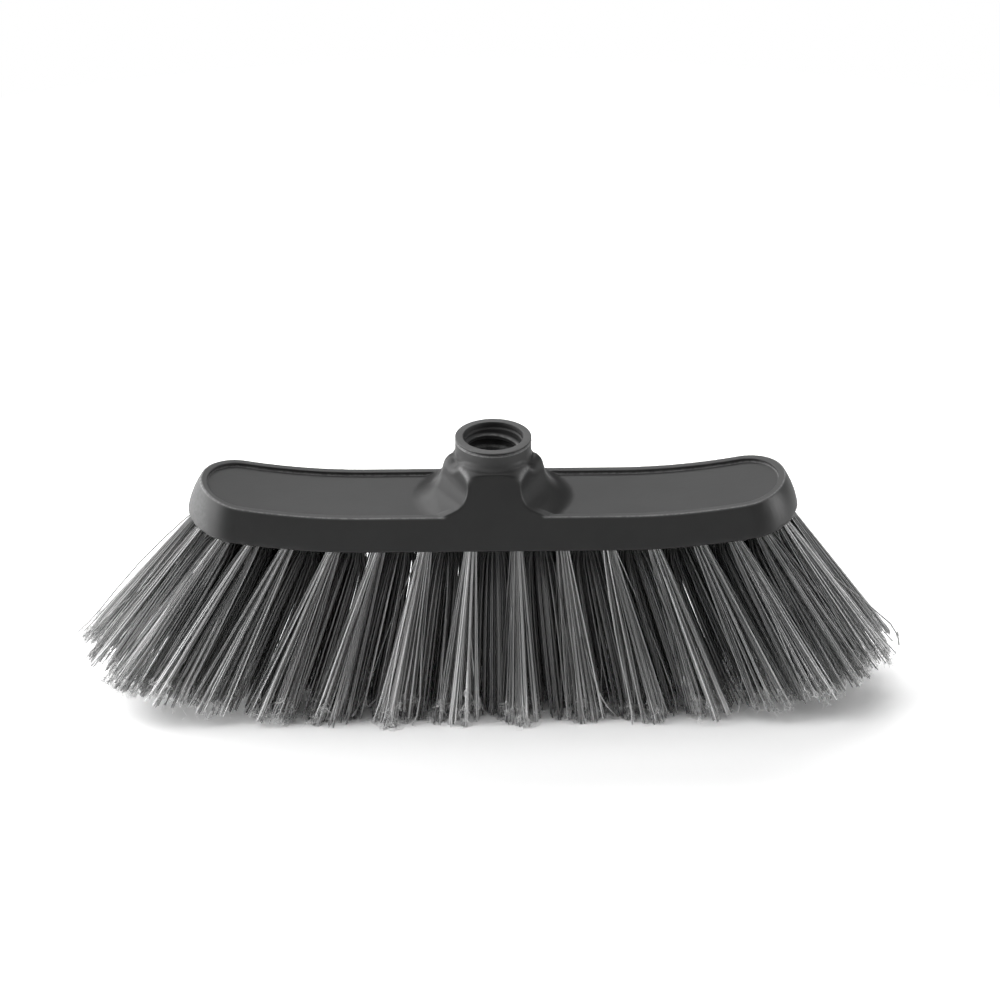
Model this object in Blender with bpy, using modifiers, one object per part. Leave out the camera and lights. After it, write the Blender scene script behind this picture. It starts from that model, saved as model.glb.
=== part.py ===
"""Push-broom head: a moulded block with a threaded handle socket and rows of set filament tufts.

Metres, +Z up. X runs along the block, -Y is the front, and the origin is on the floor under the
middle of the block. The head stands on the trimmed ends of its middle tufts.
"""

import math

import bmesh
import bpy
from mathutils import Matrix, Vector

MM = 0.001
GAP = 0.3 * MM  # clearance between a hole and what is set in it

# Heights above the floor, in the straight middle of the block
UNDERSIDE_Z = 75 * MM
PANEL_Z = 87.4 * MM
RIM_Z = 89.5 * MM
SOCKET_TOP_Z = 115 * MM

# Block, seen from above: half length, half depth, and length of the rounded end
BASE_EDGE = (121.8 * MM, 23.0 * MM, 19.0 * MM)
RIM_EDGE = (116.8 * MM, 21.0 * MM, 17.5 * MM)
BASE_CHAMFER = 1.0 * MM
RIM_CHAMFER = 0.6 * MM
RIM_WIDTH = 2.2 * MM
PANEL_WALL_LEAN = 0.4 * MM
END_STEPS = 7
STRAIGHT_STEPS = 12

# The block's ends sweep up along an arc beyond its straight middle
SPINE_STRAIGHT = 50 * MM
SPINE_RADIUS = 300 * MM
RIM_SWEEP = 1.1  # the rim climbs this much more than the underside

# Handle tower: a hexagonal prism that flares into the block, turned round at its top
HEX_CORNER = 20.3 * MM  # axis to corner; two corners lie on the X axis
HEX_FRONT_HALF = 10.4 * MM
SIDE_FLARE = (11.9 * MM, 17.0 * MM, 2.05)  # spread, height and power of the sweep into the panel
SIDE_TOE = (1.6 * MM, 2.6 * MM, 2.0)  # a second, lower sweep that softens the foot of the first
FRONT_FLARE = (7.6 * MM, 13.0 * MM, 2.6)  # the same along the front and back faces, into the rim
TOWER_STEPS = 10
TOWER_INSET = 0.05 * MM
COLLAR_RADIUS = 15.15 * MM
COLLAR_CHAMFER = 0.3 * MM
COLLAR_GROOVE = (0.8 * MM, 0.5 * MM, 0.4 * MM)  # below the top, height and depth
SHOULDER_Z = 107.0 * MM  # where the fillet under the collar ends
SHOULDER_FILLET = 2.2 * MM
SHOULDER_FALL = 0.33  # how steeply the shoulder starts to fall away outside the fillet
SHOULDER_DOME = 80  # how much it falls beyond that, per metre squared from the fillet
SHOULDER_REACH = 22.0 * MM  # past this the corners of the prism drop away
SHOULDER_STEPS = 3
TURNED_SIDES = 48

# Socket: a plain mouth over a coarse internal thread
MOUTH_RADIUS = 11.9 * MM
MOUTH_DEPTH = 2.6 * MM
MOUTH_CHAMFER = 0.8 * MM
THREAD_CREST_RADIUS = 10.0 * MM
THREAD_ROOT_RADIUS = 11.3 * MM
THREAD_PITCH = 5.0 * MM
THREAD_ROOT_WIDTH = 2.4 * MM
THREAD_CREST_WIDTH = 3.6 * MM
THREAD_TURNS = 4.5
THREAD_SIDES = 20
SOCKET_FLOOR_Z = 88.0 * MM

# Tufts: every axis leans away from the middle in proportion to its distance from it
TUFT_PITCH = 18.0 * MM
ROW_Y = {"front": -17.0 * MM, "second": -5.7 * MM, "third": 5.7 * MM, "back": 17.0 * MM}
ROW_LAST = {"front": 4.5, "second": 5, "third": 5.5, "back": 5}  # in pitches from the middle
SECOND_ROW_END_X = 103.0 * MM
END_RING = (115.4 * MM, 17.0 * MM, 18.0 * MM)  # same three sizes as an edge of the block
END_RING_START_X = 94.5 * MM
END_RING_PITCH = 11.0 * MM
END_RING_COUNT = 6
FAN_ALONG = 5.85  # lean per metre from the middle, along X
FAN_ACROSS = 7.5  # the same along Y
ROOT_RADIUS = 3.1 * MM
OUTER_FAN = (9.6 * MM, 8.4 * MM)  # half the width of a tuft's tips, along and across the block
INNER_FAN = (10.4 * MM, 8.8 * MM)  # the same for the two inner rows
CLUMPS = 7  # the filaments of a tuft cling in this many clumps round its fan
CLUMP_WIDTH = 0.55  # share of the way round that the clumps' outer faces take
CLUMP_VALLEY = 0.62  # how far out the furrow between two clumps is, as a share of the fan
CLUMP_UNEVEN = 0.18  # how much less far the shortest clump reaches than the longest
HOLE_SIDES = 10
HOLE_DEPTH = 9.5 * MM
TRIM_FLAT = 50 * MM  # the trim line is level to here, then climbs to the farthest tips
TRIM_REACH = 163 * MM
TRIM_RISE = 20.0 * MM
TRIM_POWER = 2.2

# Anchor: the flat wire across each fold, whose ends bite into the wall of the hole
ANCHOR_SIZE = (7.4 * MM, 0.5 * MM, 1.8 * MM)
ANCHOR_BELOW_FOLD = 1.0 * MM


def spine_rise(x):
    """How far the block's section is lifted at x."""
    past = max(abs(x) - SPINE_STRAIGHT, 0)
    return SPINE_RADIUS - math.sqrt(SPINE_RADIUS**2 - past**2)


def trim_height(x):
    """Height of the trimmed tips at x."""
    past = max(abs(x) - TRIM_FLAT, 0) / (TRIM_REACH - TRIM_FLAT)
    return TRIM_RISE * past**TRIM_POWER


def material(name, colour, roughness):
    made = bpy.data.materials.new(name)
    made.use_nodes = True
    shader = made.node_tree.nodes["Principled BSDF"]
    shader.inputs["Base Color"].default_value = (*colour, 1)
    shader.inputs["Roughness"].default_value = roughness
    shader.inputs["Metallic"].default_value = 0
    return made


def add_object(name, bm, collection, paint=None):
    mesh = bpy.data.meshes.new(name)
    bm.to_mesh(mesh)
    bm.free()
    made = bpy.data.objects.new(name, mesh)
    collection.objects.link(made)
    if paint:
        mesh.materials.append(paint)
        mesh.shade_smooth()
        mesh.set_sharp_from_angle(angle=math.radians(35))
    else:
        made.hide_render = True
        made.display_type = "WIRE"
    return made


def cut_or_join(target, other, operation):
    boolean = target.modifiers.new(f"{operation.lower()}_{other.name}", "BOOLEAN")
    boolean.object = other
    boolean.operation = operation


# ---------------------------------------------------------------- block


def edge_stations(edge):
    """(x, share of the half depth) from the left end of an edge to its right end."""
    half_length, _, end = edge
    straight = half_length - end
    angles = [math.pi / 2 * i / END_STEPS for i in range(END_STEPS + 1)]
    left = [(-straight - end * math.cos(a), math.sin(a)) for a in angles]
    middle = [
        (straight * (2 * i / STRAIGHT_STEPS - 1), 1.0) for i in range(1, STRAIGHT_STEPS)
    ]
    right = [(straight + end * math.sin(a), math.cos(a)) for a in angles]
    return left + middle + right


def inset(edge, by):
    return tuple(size - by for size in edge)


def edge_ring(bm, edge, z):
    """A closed ring of vertices: the front from left to right, then the back."""
    sweep = 1 + (RIM_SWEEP - 1) * (z - UNDERSIDE_Z) / (RIM_Z - UNDERSIDE_Z)
    stations = edge_stations(edge)
    front = [(x, -edge[1] * share, z + spine_rise(x) * sweep) for x, share in stations]
    back = [(x, -y, height) for x, y, height in front[-2:0:-1]]
    return [bm.verts.new(point) for point in front + back]


def bridge(bm, low, high):
    for i in range(len(low)):
        j = (i + 1) % len(low)
        bm.faces.new((low[i], low[j], high[j], high[i]))


def cap(bm, ring, facing_up):
    """Fills a ring with strips from front to back, so that the face follows the sweep."""
    half = len(ring) // 2
    for i in range(half):
        a, b, c, d = ring[i], ring[i + 1], ring[-i - 1], ring[-i]
        corners = [a, b, c] if i == 0 else [a, b, d] if i == half - 1 else [a, b, c, d]
        bm.faces.new(corners if facing_up else corners[::-1])


def make_block_body(collection, paint):
    rim_inner = inset(RIM_EDGE, RIM_WIDTH)
    levels = [
        (inset(BASE_EDGE, BASE_CHAMFER), UNDERSIDE_Z),
        (BASE_EDGE, UNDERSIDE_Z + BASE_CHAMFER),
        (RIM_EDGE, RIM_Z - RIM_CHAMFER),
        (inset(RIM_EDGE, RIM_CHAMFER), RIM_Z),
        (rim_inner, RIM_Z),
        (inset(rim_inner, PANEL_WALL_LEAN), PANEL_Z),
    ]
    bm = bmesh.new()
    rings = [edge_ring(bm, edge, z) for edge, z in levels]
    for low, high in zip(rings, rings[1:]):
        bridge(bm, low, high)
    cap(bm, rings[0], facing_up=False)
    cap(bm, rings[-1], facing_up=True)
    return add_object("block", bm, collection, paint)


# ---------------------------------------------------------------- handle tower


def flare(sweep, above):
    """How far a face is swept out at a height above the foot of its sweep."""
    spread, height, power = sweep
    return spread * max(1 - max(above, 0) / height, 0) ** power


def wall_depth(z):
    """Half depth of the block's front and back walls, which the tower's faces carry on."""
    low, high = UNDERSIDE_Z + BASE_CHAMFER, RIM_Z - RIM_CHAMFER
    share = (z - low) / (high - low)
    return BASE_EDGE[1] + (RIM_EDGE[1] - BASE_EDGE[1]) * share - TOWER_INSET


def make_tower_prism(collection):
    bottom, top = PANEL_Z - 2.5 * MM, SOCKET_TOP_Z + 1 * MM
    rises = [SIDE_FLARE[1] * (i / TOWER_STEPS) ** 1.4 for i in range(TOWER_STEPS + 1)]
    bm = bmesh.new()
    rings = []
    for z in [bottom, *(PANEL_Z + rise for rise in rises), top]:
        side = HEX_CORNER + flare(SIDE_FLARE, z - PANEL_Z) + flare(SIDE_TOE, z - PANEL_Z)
        front = HEX_FRONT_HALF + flare(FRONT_FLARE, z - RIM_Z)
        depth = wall_depth(z)
        plan = [(-side, 0), (-front, -depth), (front, -depth)]
        plan += [(-x, -y) for x, y in plan]
        rings.append([bm.verts.new((x, y, z)) for x, y in plan])
    for low, high in zip(rings, rings[1:]):
        bridge(bm, low, high)
    bm.faces.new(rings[0][::-1])
    bm.faces.new(rings[-1])
    return add_object("tower_prism", bm, collection)


def turned(name, profile, collection):
    """A solid turned about the Z axis from its outer profile, listed from top to bottom."""
    bm = bmesh.new()
    points = [bm.verts.new((radius, 0, z)) for radius, z in profile]
    for upper, lower in zip(points, points[1:]):
        bm.edges.new((upper, lower))
    made = add_object(name, bm, collection)
    screw = made.modifiers.new("turn", "SCREW")
    screw.steps = screw.render_steps = TURNED_SIDES
    screw.use_merge_vertices = True
    screw.merge_threshold = 0.00001
    return made


def arc(centre, radius, start, end, steps):
    """Points on an arc in the (radius, z) plane, with its angles in degrees."""
    angles = [math.radians(start + (end - start) * i / steps) for i in range(steps + 1)]
    return [(centre[0] + radius * math.cos(a), centre[1] + radius * math.sin(a)) for a in angles]


def make_tower_turning(collection):
    """The collar and the shoulder under it, wide enough below to leave the flare alone."""
    clear = HEX_CORNER + SIDE_FLARE[0] + 5 * MM
    below, height, depth = COLLAR_GROOVE
    groove_z = SOCKET_TOP_Z - below
    fillet = (COLLAR_RADIUS + SHOULDER_FILLET, SHOULDER_Z + SHOULDER_FILLET)
    dome = []
    for step in range(1, SHOULDER_STEPS + 1):
        out = (SHOULDER_REACH - fillet[0]) * step / SHOULDER_STEPS
        dome.append((fillet[0] + out, SHOULDER_Z - SHOULDER_FALL * out - SHOULDER_DOME * out**2))
    low_z = dome[-1][1]
    drop = 3 * MM
    profile = [
        (0, SOCKET_TOP_Z),
        (COLLAR_RADIUS - COLLAR_CHAMFER, SOCKET_TOP_Z),
        (COLLAR_RADIUS, SOCKET_TOP_Z - COLLAR_CHAMFER),
        (COLLAR_RADIUS, groove_z),
        (COLLAR_RADIUS - depth, groove_z - height / 2),
        (COLLAR_RADIUS, groove_z - height),
        *arc(fillet, SHOULDER_FILLET, 180, 262, 4),
        *dome,
        (SHOULDER_REACH + drop / 3, low_z - drop),
        (clear, low_z - drop),
        (clear, PANEL_Z - 4 * MM),
        (0, PANEL_Z - 4 * MM),
    ]
    return turned("tower_turning", profile, collection)


def make_socket_bore(collection):
    """The plain mouth and the bore at the crests of the thread."""
    profile = [
        (0, SOCKET_TOP_Z + 1 * MM),
        (MOUTH_RADIUS, SOCKET_TOP_Z + 1 * MM),
        (MOUTH_RADIUS, SOCKET_TOP_Z - MOUTH_DEPTH),
        (THREAD_CREST_RADIUS, SOCKET_TOP_Z - MOUTH_DEPTH - MOUTH_CHAMFER),
        (THREAD_CREST_RADIUS, SOCKET_FLOOR_Z),
        (0, SOCKET_FLOOR_Z),
    ]
    return turned("socket_bore", profile, collection)


def make_thread_groove(collection):
    """A helical groove cutter, which runs out upwards into the mouth."""
    inner = THREAD_CREST_RADIUS - 0.8 * MM
    start = SOCKET_FLOOR_Z + 2.5 * MM
    section = [
        (inner, -THREAD_CREST_WIDTH / 2),
        (THREAD_ROOT_RADIUS, -THREAD_ROOT_WIDTH / 2),
        (THREAD_ROOT_RADIUS, THREAD_ROOT_WIDTH / 2),
        (inner, THREAD_CREST_WIDTH / 2),
    ]
    bm = bmesh.new()
    rings = []
    for step in range(int(THREAD_TURNS * THREAD_SIDES) + 1):
        turn = Matrix.Rotation(2 * math.pi * step / THREAD_SIDES, 4, "Z")
        climb = start + THREAD_PITCH * step / THREAD_SIDES
        rings.append([bm.verts.new(turn @ Vector((r, 0, climb + z))) for r, z in section])
    for ring, following in zip(rings, rings[1:]):
        bridge(bm, ring, following)
    bm.faces.new(rings[0][::-1])
    bm.faces.new(rings[-1])
    bmesh.ops.recalc_face_normals(bm, faces=bm.faces)
    return add_object("thread_groove", bm, collection)


# ---------------------------------------------------------------- tufts


def mirrored_row(places):
    """Names numbered from left to right for places given from the middle outwards."""
    both = sorted({*places, *(-x for x in places)})
    return list(enumerate(both, start=1))


def straight_rows():
    """(name, x, y) of each tuft in the four staggered rows."""
    for row, y in ROW_Y.items():
        last = ROW_LAST[row]
        first = last % 1
        places = [TUFT_PITCH * (first + i) for i in range(int(last - first) + 1)]
        if row == "second":
            places.append(SECOND_ROW_END_X)
        for number, x in mirrored_row(places):
            yield f"tuft_{row}_{number:02d}", x, y


def end_rings():
    """(name, x, y) of the tufts around both ends, numbered from front to back."""
    half_length, half_depth, end = END_RING
    arc_start = half_length - end
    for side, name in ((-1, "left"), (1, "right")):
        for i in range(END_RING_COUNT):
            along = END_RING_START_X + END_RING_PITCH * i - arc_start
            angle = max(along, 0) / ((end + half_depth) / 2)
            x = arc_start + min(along, 0) + end * math.sin(angle)
            yield f"tuft_{name}_end_{i + 1}", side * x, -half_depth * math.cos(angle)


def tuft_axis(x, y):
    """The middle of a tuft's hole in the underside, and the direction of its filaments."""
    mouth = Vector((x, y, UNDERSIDE_Z + spine_rise(x)))
    return mouth, Vector((FAN_ALONG * x, FAN_ACROSS * y, -1)).normalized()


def tuft_tip(x, y):
    """Where a tuft's axis meets the trim line."""
    mouth, direction = tuft_axis(x, y)
    tip = mouth.copy()
    for _ in range(8):
        tip = mouth + direction * ((trim_height(tip.x) - mouth.z) / direction.z)
    return tip


def upright_to(mouth, direction):
    """Places a shape whose filaments run down its own Z axis from the origin."""
    return Matrix.Translation(mouth) @ (-direction).to_track_quat("Z", "Y").to_matrix().to_4x4()


def make_anchor(bm):
    """The flat wire's solid, across the top of a tuft that hangs from the origin."""
    fold = HOLE_DEPTH - GAP
    placed = Matrix.Translation((0, 0, fold - ANCHOR_BELOW_FOLD - ANCHOR_SIZE[2] / 2))
    bmesh.ops.create_cube(bm, size=1, matrix=placed @ Matrix.Diagonal((*ANCHOR_SIZE, 1)))


def clumped_section(number):
    """(angle, share of the fan) of each point round the clumps of a tuft.

    Every tuft is turned from the one before it by the golden angle, so that no two look alike.
    """
    pitch = 2 * math.pi / CLUMPS
    turned_by = number * math.pi * (3 - math.sqrt(5))
    for k in range(CLUMPS):
        middle = turned_by + pitch * k
        reach = 1 - CLUMP_UNEVEN * (0.5 + 0.5 * math.sin(3 * k + number))
        yield middle - pitch / 2, CLUMP_VALLEY
        yield middle - pitch * CLUMP_WIDTH / 2, reach
        yield middle + pitch * CLUMP_WIDTH / 2, reach


def make_tuft(name, number, place, fan, collection, cutters, paint):
    """A round root in its hole, lofted to the clumped section of the fan."""
    mouth, direction = tuft_axis(*place)
    tip = tuft_tip(*place)
    along = (Vector((1, 0, 0)) - direction * direction.x).normalized()
    across = along.cross(direction)
    section = list(clumped_section(number))
    spare = 1.3  # the trim takes this off again
    root = [(angle, ROOT_RADIUS, ROOT_RADIUS) for angle, _ in section]
    flared = []
    for angle, share in section:
        sizes = [ROOT_RADIUS + (half * share - ROOT_RADIUS) * spare for half in fan]
        flared.append((angle, *sizes))
    bm = bmesh.new()
    rings = []
    for ring, middle in (
        (root, mouth - direction * (HOLE_DEPTH - GAP)),
        (root, mouth),
        (flared, mouth + (tip - mouth) * spare),
    ):
        points = [middle + along * a * math.cos(t) + across * b * math.sin(t) for t, a, b in ring]
        rings.append([bm.verts.new(point) for point in points])
    for low, high in zip(rings, rings[1:]):
        bridge(bm, low, high)
    bm.faces.new(rings[0][::-1])
    bm.faces.new(rings[-1])
    trim(bm, tip, fan[0])
    tuft = add_object(name, bm, collection, paint)
    anchor = bmesh.new()
    make_anchor(anchor)
    anchor.transform(upright_to(mouth, direction))
    cut_or_join(tuft, add_object(f"anchor_of_{name}", anchor, cutters), "UNION")


def trim(bm, tip, reach):
    """Cuts a tuft along the trim line, with one plane from its inner tips to its outer ones."""
    inner, outer = (trim_height(tip.x + side * reach) for side in (-1, 1))
    cut = bmesh.ops.bisect_plane(
        bm,
        geom=bm.verts[:] + bm.edges[:] + bm.faces[:],
        plane_co=(tip.x, tip.y, (inner + outer) / 2),
        plane_no=(-(outer - inner) / (2 * reach), 0, 1),
        clear_inner=True,
    )
    rim = [part for part in cut["geom_cut"] if isinstance(part, bmesh.types.BMEdge)]
    bmesh.ops.holes_fill(bm, edges=rim)
    bmesh.ops.recalc_face_normals(bm, faces=bm.faces)


def make_hole_cutters(places, collection):
    """One cutter with every tuft hole, and one with the grooves that the anchors leave."""
    holes, grooves = bmesh.new(), bmesh.new()
    below = 2 * MM
    deep = HOLE_DEPTH + below
    middle = Matrix.Translation((0, 0, HOLE_DEPTH - deep / 2))
    corner = (ROOT_RADIUS + GAP) / math.cos(math.pi / HOLE_SIDES)  # keeps the gap at its flats
    width, thickness = ANCHOR_SIZE[0] + 2 * GAP, ANCHOR_SIZE[1] + 2 * GAP
    groove_top = HOLE_DEPTH - ANCHOR_BELOW_FOLD
    lowered = Matrix.Translation((0, 0, groove_top - deep / 2))
    for _, x, y in places:
        placed = upright_to(*tuft_axis(x, y))
        bmesh.ops.create_cone(
            holes,
            cap_ends=True,
            segments=HOLE_SIDES,
            radius1=corner,
            radius2=corner,
            depth=deep,
            matrix=placed @ middle,
        )
        sized = Matrix.Diagonal((width, thickness, deep, 1))
        bmesh.ops.create_cube(grooves, size=1, matrix=placed @ lowered @ sized)
    return (
        add_object("tuft_holes", holes, collection),
        add_object("anchor_grooves", grooves, collection),
    )


def tuft_fans(places):
    """Each tuft flares to its full fan, or until it would meet its nearest neighbour."""
    tips = [tuft_tip(x, y) for _, x, y in places]
    for (name, _, _), tip in zip(places, tips):
        room = min((tip - other).length for other in tips if other is not tip)
        fan = INNER_FAN if "second" in name or "third" in name else OUTER_FAN
        yield [min(half, 0.47 * room) for half in fan]


def main():
    for old in list(bpy.data.objects):
        bpy.data.objects.remove(old)
    parts = bpy.data.collections.new("broom_head")
    cutters = bpy.data.collections.new("broom_head_cutters")
    for collection in (parts, cutters):
        bpy.context.scene.collection.children.link(collection)

    plastic = material("block_plastic", (0.055, 0.055, 0.057), 0.4)
    filament = material("grey_filament", (0.3, 0.3, 0.3), 0.35)

    places = [*straight_rows(), *end_rings()]
    block = make_block_body(parts, plastic)
    tower = make_tower_prism(cutters)
    cut_or_join(tower, make_tower_turning(cutters), "INTERSECT")
    cut_or_join(block, tower, "UNION")
    cut_or_join(block, make_socket_bore(cutters), "DIFFERENCE")
    cut_or_join(block, make_thread_groove(cutters), "DIFFERENCE")
    for cutter in make_hole_cutters(places, cutters):
        cut_or_join(block, cutter, "DIFFERENCE")
    for number, ((name, *place), fan) in enumerate(zip(places, tuft_fans(places))):
        make_tuft(name, number, place, fan, parts, cutters, filament)


main()
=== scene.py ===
"""Looks of the broom head: the moulded block with its handle socket, 58 tufts of folded filament,
a white floor and soft studio light. Lengths are in millimetres until a mesh is made."""

import math

import bmesh
import bpy
import numpy as np
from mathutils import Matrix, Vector
from mathutils.geometry import delaunay_2d_cdt


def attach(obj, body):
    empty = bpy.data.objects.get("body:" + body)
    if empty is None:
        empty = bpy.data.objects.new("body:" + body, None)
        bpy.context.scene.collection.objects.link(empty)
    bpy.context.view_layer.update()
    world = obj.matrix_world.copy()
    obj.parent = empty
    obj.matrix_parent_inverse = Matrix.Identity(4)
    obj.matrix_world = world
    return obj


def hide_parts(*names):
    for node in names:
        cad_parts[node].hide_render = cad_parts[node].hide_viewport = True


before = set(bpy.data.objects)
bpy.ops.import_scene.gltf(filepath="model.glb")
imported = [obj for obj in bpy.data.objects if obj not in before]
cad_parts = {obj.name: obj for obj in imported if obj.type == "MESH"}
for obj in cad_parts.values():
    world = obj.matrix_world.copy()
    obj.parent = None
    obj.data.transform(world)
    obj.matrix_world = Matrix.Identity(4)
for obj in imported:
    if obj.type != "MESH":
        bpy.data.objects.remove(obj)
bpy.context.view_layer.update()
MM = 0.001

# ---------------------------------------------------------------- sizes: the CAD's, or finer

UNDERSIDE, PANEL, RIM, TOP = 75.0, 87.9, 89.5, 115.0
BASE_EDGE = (121.8, 23.0, 19.0)  # half length, half depth, length of the rounded end
RIM_EDGE = (116.8, 21.0, 17.5)
WALL_START, WALL_LESS = 1.0, 1.6  # the wall runs from 1.0 above the underside to 0.6 below the rim
WALL_SQUARE = 0.988  # the wall leans, so its distance is this share of that on the level
RIM_WIDTH, RIM_LEAN = 2.9, 0.19  # of the raised rim, and how its inner wall leans
END_BULGE = 0.6  # the walls of the rounded ends are a little convex
SPINE_STRAIGHT, SPINE_RADIUS, RIM_SWEEP = 50.0, 300.0, 1.1
TRIM_FLAT, TRIM_RUN, TRIM_RISE, TRIM_POWER = 50, 113, 20, 2.2

HEX_CORNER, HEX_FRONT_HALF = 20.7, 10.4
SIDE_FLARE = (11.9, 17.0, 2.05)  # spread, height and power, from the foot of the flare
FRONT_FLARE = (7.6, 13.0, 2.6)
FLARE_FOOT = 87.4
COLLAR, SHOULDER, SHOULDER_FALL, SHOULDER_DOME = 15.15, 107.35, 0.15, 0.13
SIDE_DIP, CORNER_LIFT = 1.5, 0.75  # the shoulder dips over the side faces, less so at their corner
SIDE_FACE, SIDE_CORNER = (0.71, 0.944), (0.96, 1.0)  # where those start and end, as x over the radius

# Radii of the edges and hollows. Where there are two numbers, the second is what a place adds.
COLLAR_FILLET, SHOULDER_EDGE = (2.3, -1.36), (1.2, 2.8)  # in front, and added over the side faces
FLANK_EDGE = (1.5, 4)  # between two side faces, and added at the foot of the flare
FLARE_FILLET, RECESS_EDGE, RECESS_FILLET, RIM_ROUND, BASE_ROUND = 7.0, 0.25, 0.28, 0.45, 0.9

COLLAR_CUT = 110.6  # the collar above this is turned, and the rest is one blended surface
LIP, LIP_GROOVE, RING = 113.0, 113.8, 114.5  # where the bead, the groove and the top ring start
LIP_PROFILE = (  # radius and height, up the bead and the groove under the top ring
    (15.17, 113.08), (15.21, 113.2), (15.14, 113.34), (14.76, 113.7), (14.56, 113.86),
    (14.48, 114.1), (14.48, 114.4), (14.56, 114.58), (15.05, 114.62), (15.14, 114.66),
)  # fmt: skip
RING_EDGE, MOUTH_EDGE = 0.2, 0.3
MOUTH, MOUTH_DEPTH = 11.95, 2.3
CREST, ROOT, PITCH = 10.0, 11.3, 5.0
GROOVE_HALF, GROOVE_FLANK = 1.85, 0.62
THREAD_ENTRY, THREAD_RUN_OUT = 1.7, 1.2
SOCKET_FLOOR, FLOOR_FILLET = 88.0, 0.6

# Lines of the grid that the block's surface is found on: (from, spacing), …, end
GRID_X = ((-123.1, 0.38), (-96, 1.5), (-38, 0.4), (38, 1.5), (96, 0.38), 123.1)
GRID_Y = ((-24.0, 0.34), (-17.0, 0.48), (17.0, 0.34), 24.0)
GRID_Z = ((74.33, 0.33), (76.6, 1.4), (85.8, 0.32), (111.3, 0.32), 111.6)
UNDERSIDE_INSET = 1.9  # the flat further in than this is swapped for a drilled one
FILL_SPACING, FILL_INSET, FILL_CLEAR = 4.5, 4, 5.0  # points of the drilled flat between its holes

# Pale tint of the plastic, partly wear and partly painted light: 1 is the top that hands touch, and more
# is a painted highlight on sharp edges
# collar and top ring: pale tint, partly wear and partly painted light; the bead: a painted highlight
# line; the groove: left dark as a painted shade line
COLLAR_WEAR_AND_LIGHT, LIP_HIGHLIGHT, GROOVE_PAINTED_SHADE, RING_WEAR_AND_LIGHT = 0.5, 2.0, 0.1, 1.1
# inside the socket: painted light, paler further down, and painted highlight lines on the thread's crest
# edges
THREAD_PAINTED_LIGHT, THREAD_DEEP_PAINTED_LIGHT, THREAD_EDGE_HIGHLIGHT = 0.7, 1.1, 2.0
THREAD_EDGE, THREAD_EDGE_WIDTH = 1.75, 0.24  # where painted highlight lines lie on the thread, from the middle of the groove
SOCKET_REACH = 12.2  # what is closer to the axis is inside the socket
# on the rim: its top is worn paler, its outer edge and the foot of its inner wall get painted highlight
# lines, and its inner wall a painted reflection
RIM_TOP_RUB, OUTER_EDGE_HIGHLIGHT, RECESS_WALL_REFLECTION, RECESS_FOOT_HIGHLIGHT = 0.6, 2.5, 1.0, 2.4
# painted highlights: on the tower's edges between side faces and shoulder, on its shoulder ledge, and on
# the wall of the left end
CORNER_HIGHLIGHT, LEDGE_HIGHLIGHT, LEFT_END_HIGHLIGHT = 1.2, 0.9, 1.25

TUFT_PITCH = 18.0
ROWS = {"front": (-17.0, 4.5), "second": (-5.7, 5), "third": (5.7, 5.5), "back": (17.0, 5)}
SECOND_ROW_END = 103.0
INNER_ROWS = ("second", "third")
END_RING, END_START, END_PITCH, END_COUNT = (115.4, 17.0, 18.0), 94.5, 11.0, 6
FAN_ALONG, FAN_ACROSS = 0.00585, 0.0075
HOLE_RADIUS, HOLE_DEPTH, DRILL_POINT, HOLE_SIDES = 3.4, 9.5, 0.9, 24

# Tufts. Where a row isn't named, FILAMENTS is 40, and PULL and OPENING are 1.
FILAMENTS = {"second": 48, "third": 48}  # folded at the middle, so twice as many tips
FILAMENT_SIDES, FILAMENT_RADIUS, RADIUS_VARIES = 6, 0.25, 0.015
BUNDLE_RADIUS = {
    "front": 2.15, "second": 2.9, "third": 2.9, "back": 2.6, "left": 2.3, "right": 2.3,
}  # fmt: skip
PULL = {"second": 0.3, "third": 0.3, "back": 0.7}  # how far a row's tips cling in clumps
OPENING = {  # under 1, a tuft opens nearer to its hole
    "second": 0.34, "third": 0.28, "back": 0.5, "left": 0.85, "right": 0.85,
}  # fmt: skip
FOLD_HEIGHT = 7.9
OUTER_FAN, INNER_FAN = (9.6, 8.4), (12.0, 8.8)  # half a tuft's width at the tips, along and across
INNER_SPLAY, INNER_LEAN = 1.7, 7.0  # the two inner rows also spread more across, and lean outwards
SET_LEAN = (-2.0, 0.0)  # use has bent the tips a little towards the left
FIRST_SEED = 5300
CLUMPS, INNER_CLUMPS, CLUMP_UNEVEN = 7, 3, 0.18  # the outer clumps are the CAD's
CLING = (0.25, 0.75)  # how far tips are drawn to the middle of their clump
LOOSE, TIGHT = ((0.015, 0.9), (0.05, 0.3), (0.2, 0.12)), 0.04  # how far tips stray, up to each share
STRAY = 0.5  # looser than this, a filament stands alone
BOW, HOOK = (0.2, 4.5), (0.15, 3.0)  # of a filament and of its tip, and more where it is loose
UNEVEN_CLUMP, UNEVEN_TIP = 0.5, 0.4
SHORT_SHARE, SHORT_BY = 0.08, (2, 7)
NOMINAL_REACH = 84.0
TIP_LIMIT = 36.0
LEG_STOPS = np.array([0, 0.12, 0.3, 0.5, 0.7, 0.84, 0.93, 1.0])
GOLDEN = math.pi * (3 - math.sqrt(5))

# Curled fibres that split from the ends of filaments
WORN_CLUMPS = 0.6  # the share of clumps that are worn
SPLIT_WORN, SPLIT_PLAIN = 0.85, 0.15  # the share of ends that have split, in those and in the others
INNER_FIBRES, OUTER_FIBRES = 7, 11  # to each split end
SPLIT_BACK = (1.0, 12.0)  # how far from the end they start
FIBRE_SIDES, FIBRE_STOPS, FIBRE_RADIUS, FIBRE_LENGTH, FIBRE_CURL = 3, 8, 0.09, 5.0, 1.7

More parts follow.
